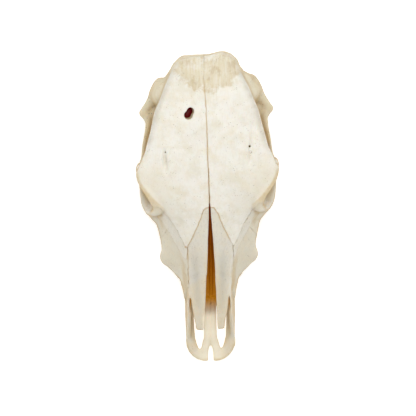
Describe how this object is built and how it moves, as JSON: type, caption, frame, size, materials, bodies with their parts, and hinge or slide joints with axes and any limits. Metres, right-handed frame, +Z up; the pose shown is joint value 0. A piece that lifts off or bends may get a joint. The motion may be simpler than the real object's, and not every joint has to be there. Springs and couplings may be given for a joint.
{
  "type": "cow skull",
  "caption": "Dry, bleached skull of a polled cow without its lower jaw: long tapering face, open nose gap, ringed eye sockets and broad flat forehead, lying on its cheek teeth.",
  "frame": {"origin": "middle of the bounding box at its base, on the floor that the cheek teeth and the jugular processes rest on", "axes": "+Y from the nose to the poll, +Z up out of the forehead, +X to the animal's left"},
  "size_m": [0.2162, 0.4692, 0.181],
  "materials": {
    "frontal_left": "dry matt bone",
    "frontal_right": "dry matt bone",
    "nasal_left": "dry matt bone",
    "nasal_right": "dry matt bone",
    "lacrimal_left": "dry matt bone",
    "lacrimal_right": "dry matt bone",
    "zygomatic_left": "dry matt bone",
    "zygomatic_right": "dry matt bone",
    "temporal_left": "dry matt bone",
    "temporal_right": "dry matt bone",
    "maxilla_left": "dry matt bone",
    "maxilla_right": "dry matt bone",
    "incisive_left": "dry matt bone",
    "incisive_right": "dry matt bone",
    "occipital": "dry matt bone",
    "sphenoid": "dry matt bone"
  },
  "bodies": {
    "root": {"frontal_left": "frontal_left", "frontal_right": "frontal_right", "nasal_left": "nasal_left", "nasal_right": "nasal_right", "lacrimal_left": "lacrimal_left", "lacrimal_right": "lacrimal_right", "zygomatic_left": "zygomatic_left", "zygomatic_right": "zygomatic_right", "temporal_left": "temporal_left", "temporal_right": "temporal_right", "maxilla_left": "maxilla_left", "maxilla_right": "maxilla_right", "incisive_left": "incisive_left", "incisive_right": "incisive_right", "occipital": "occipital", "sphenoid": "sphenoid"}
  },
  "joints": []
}
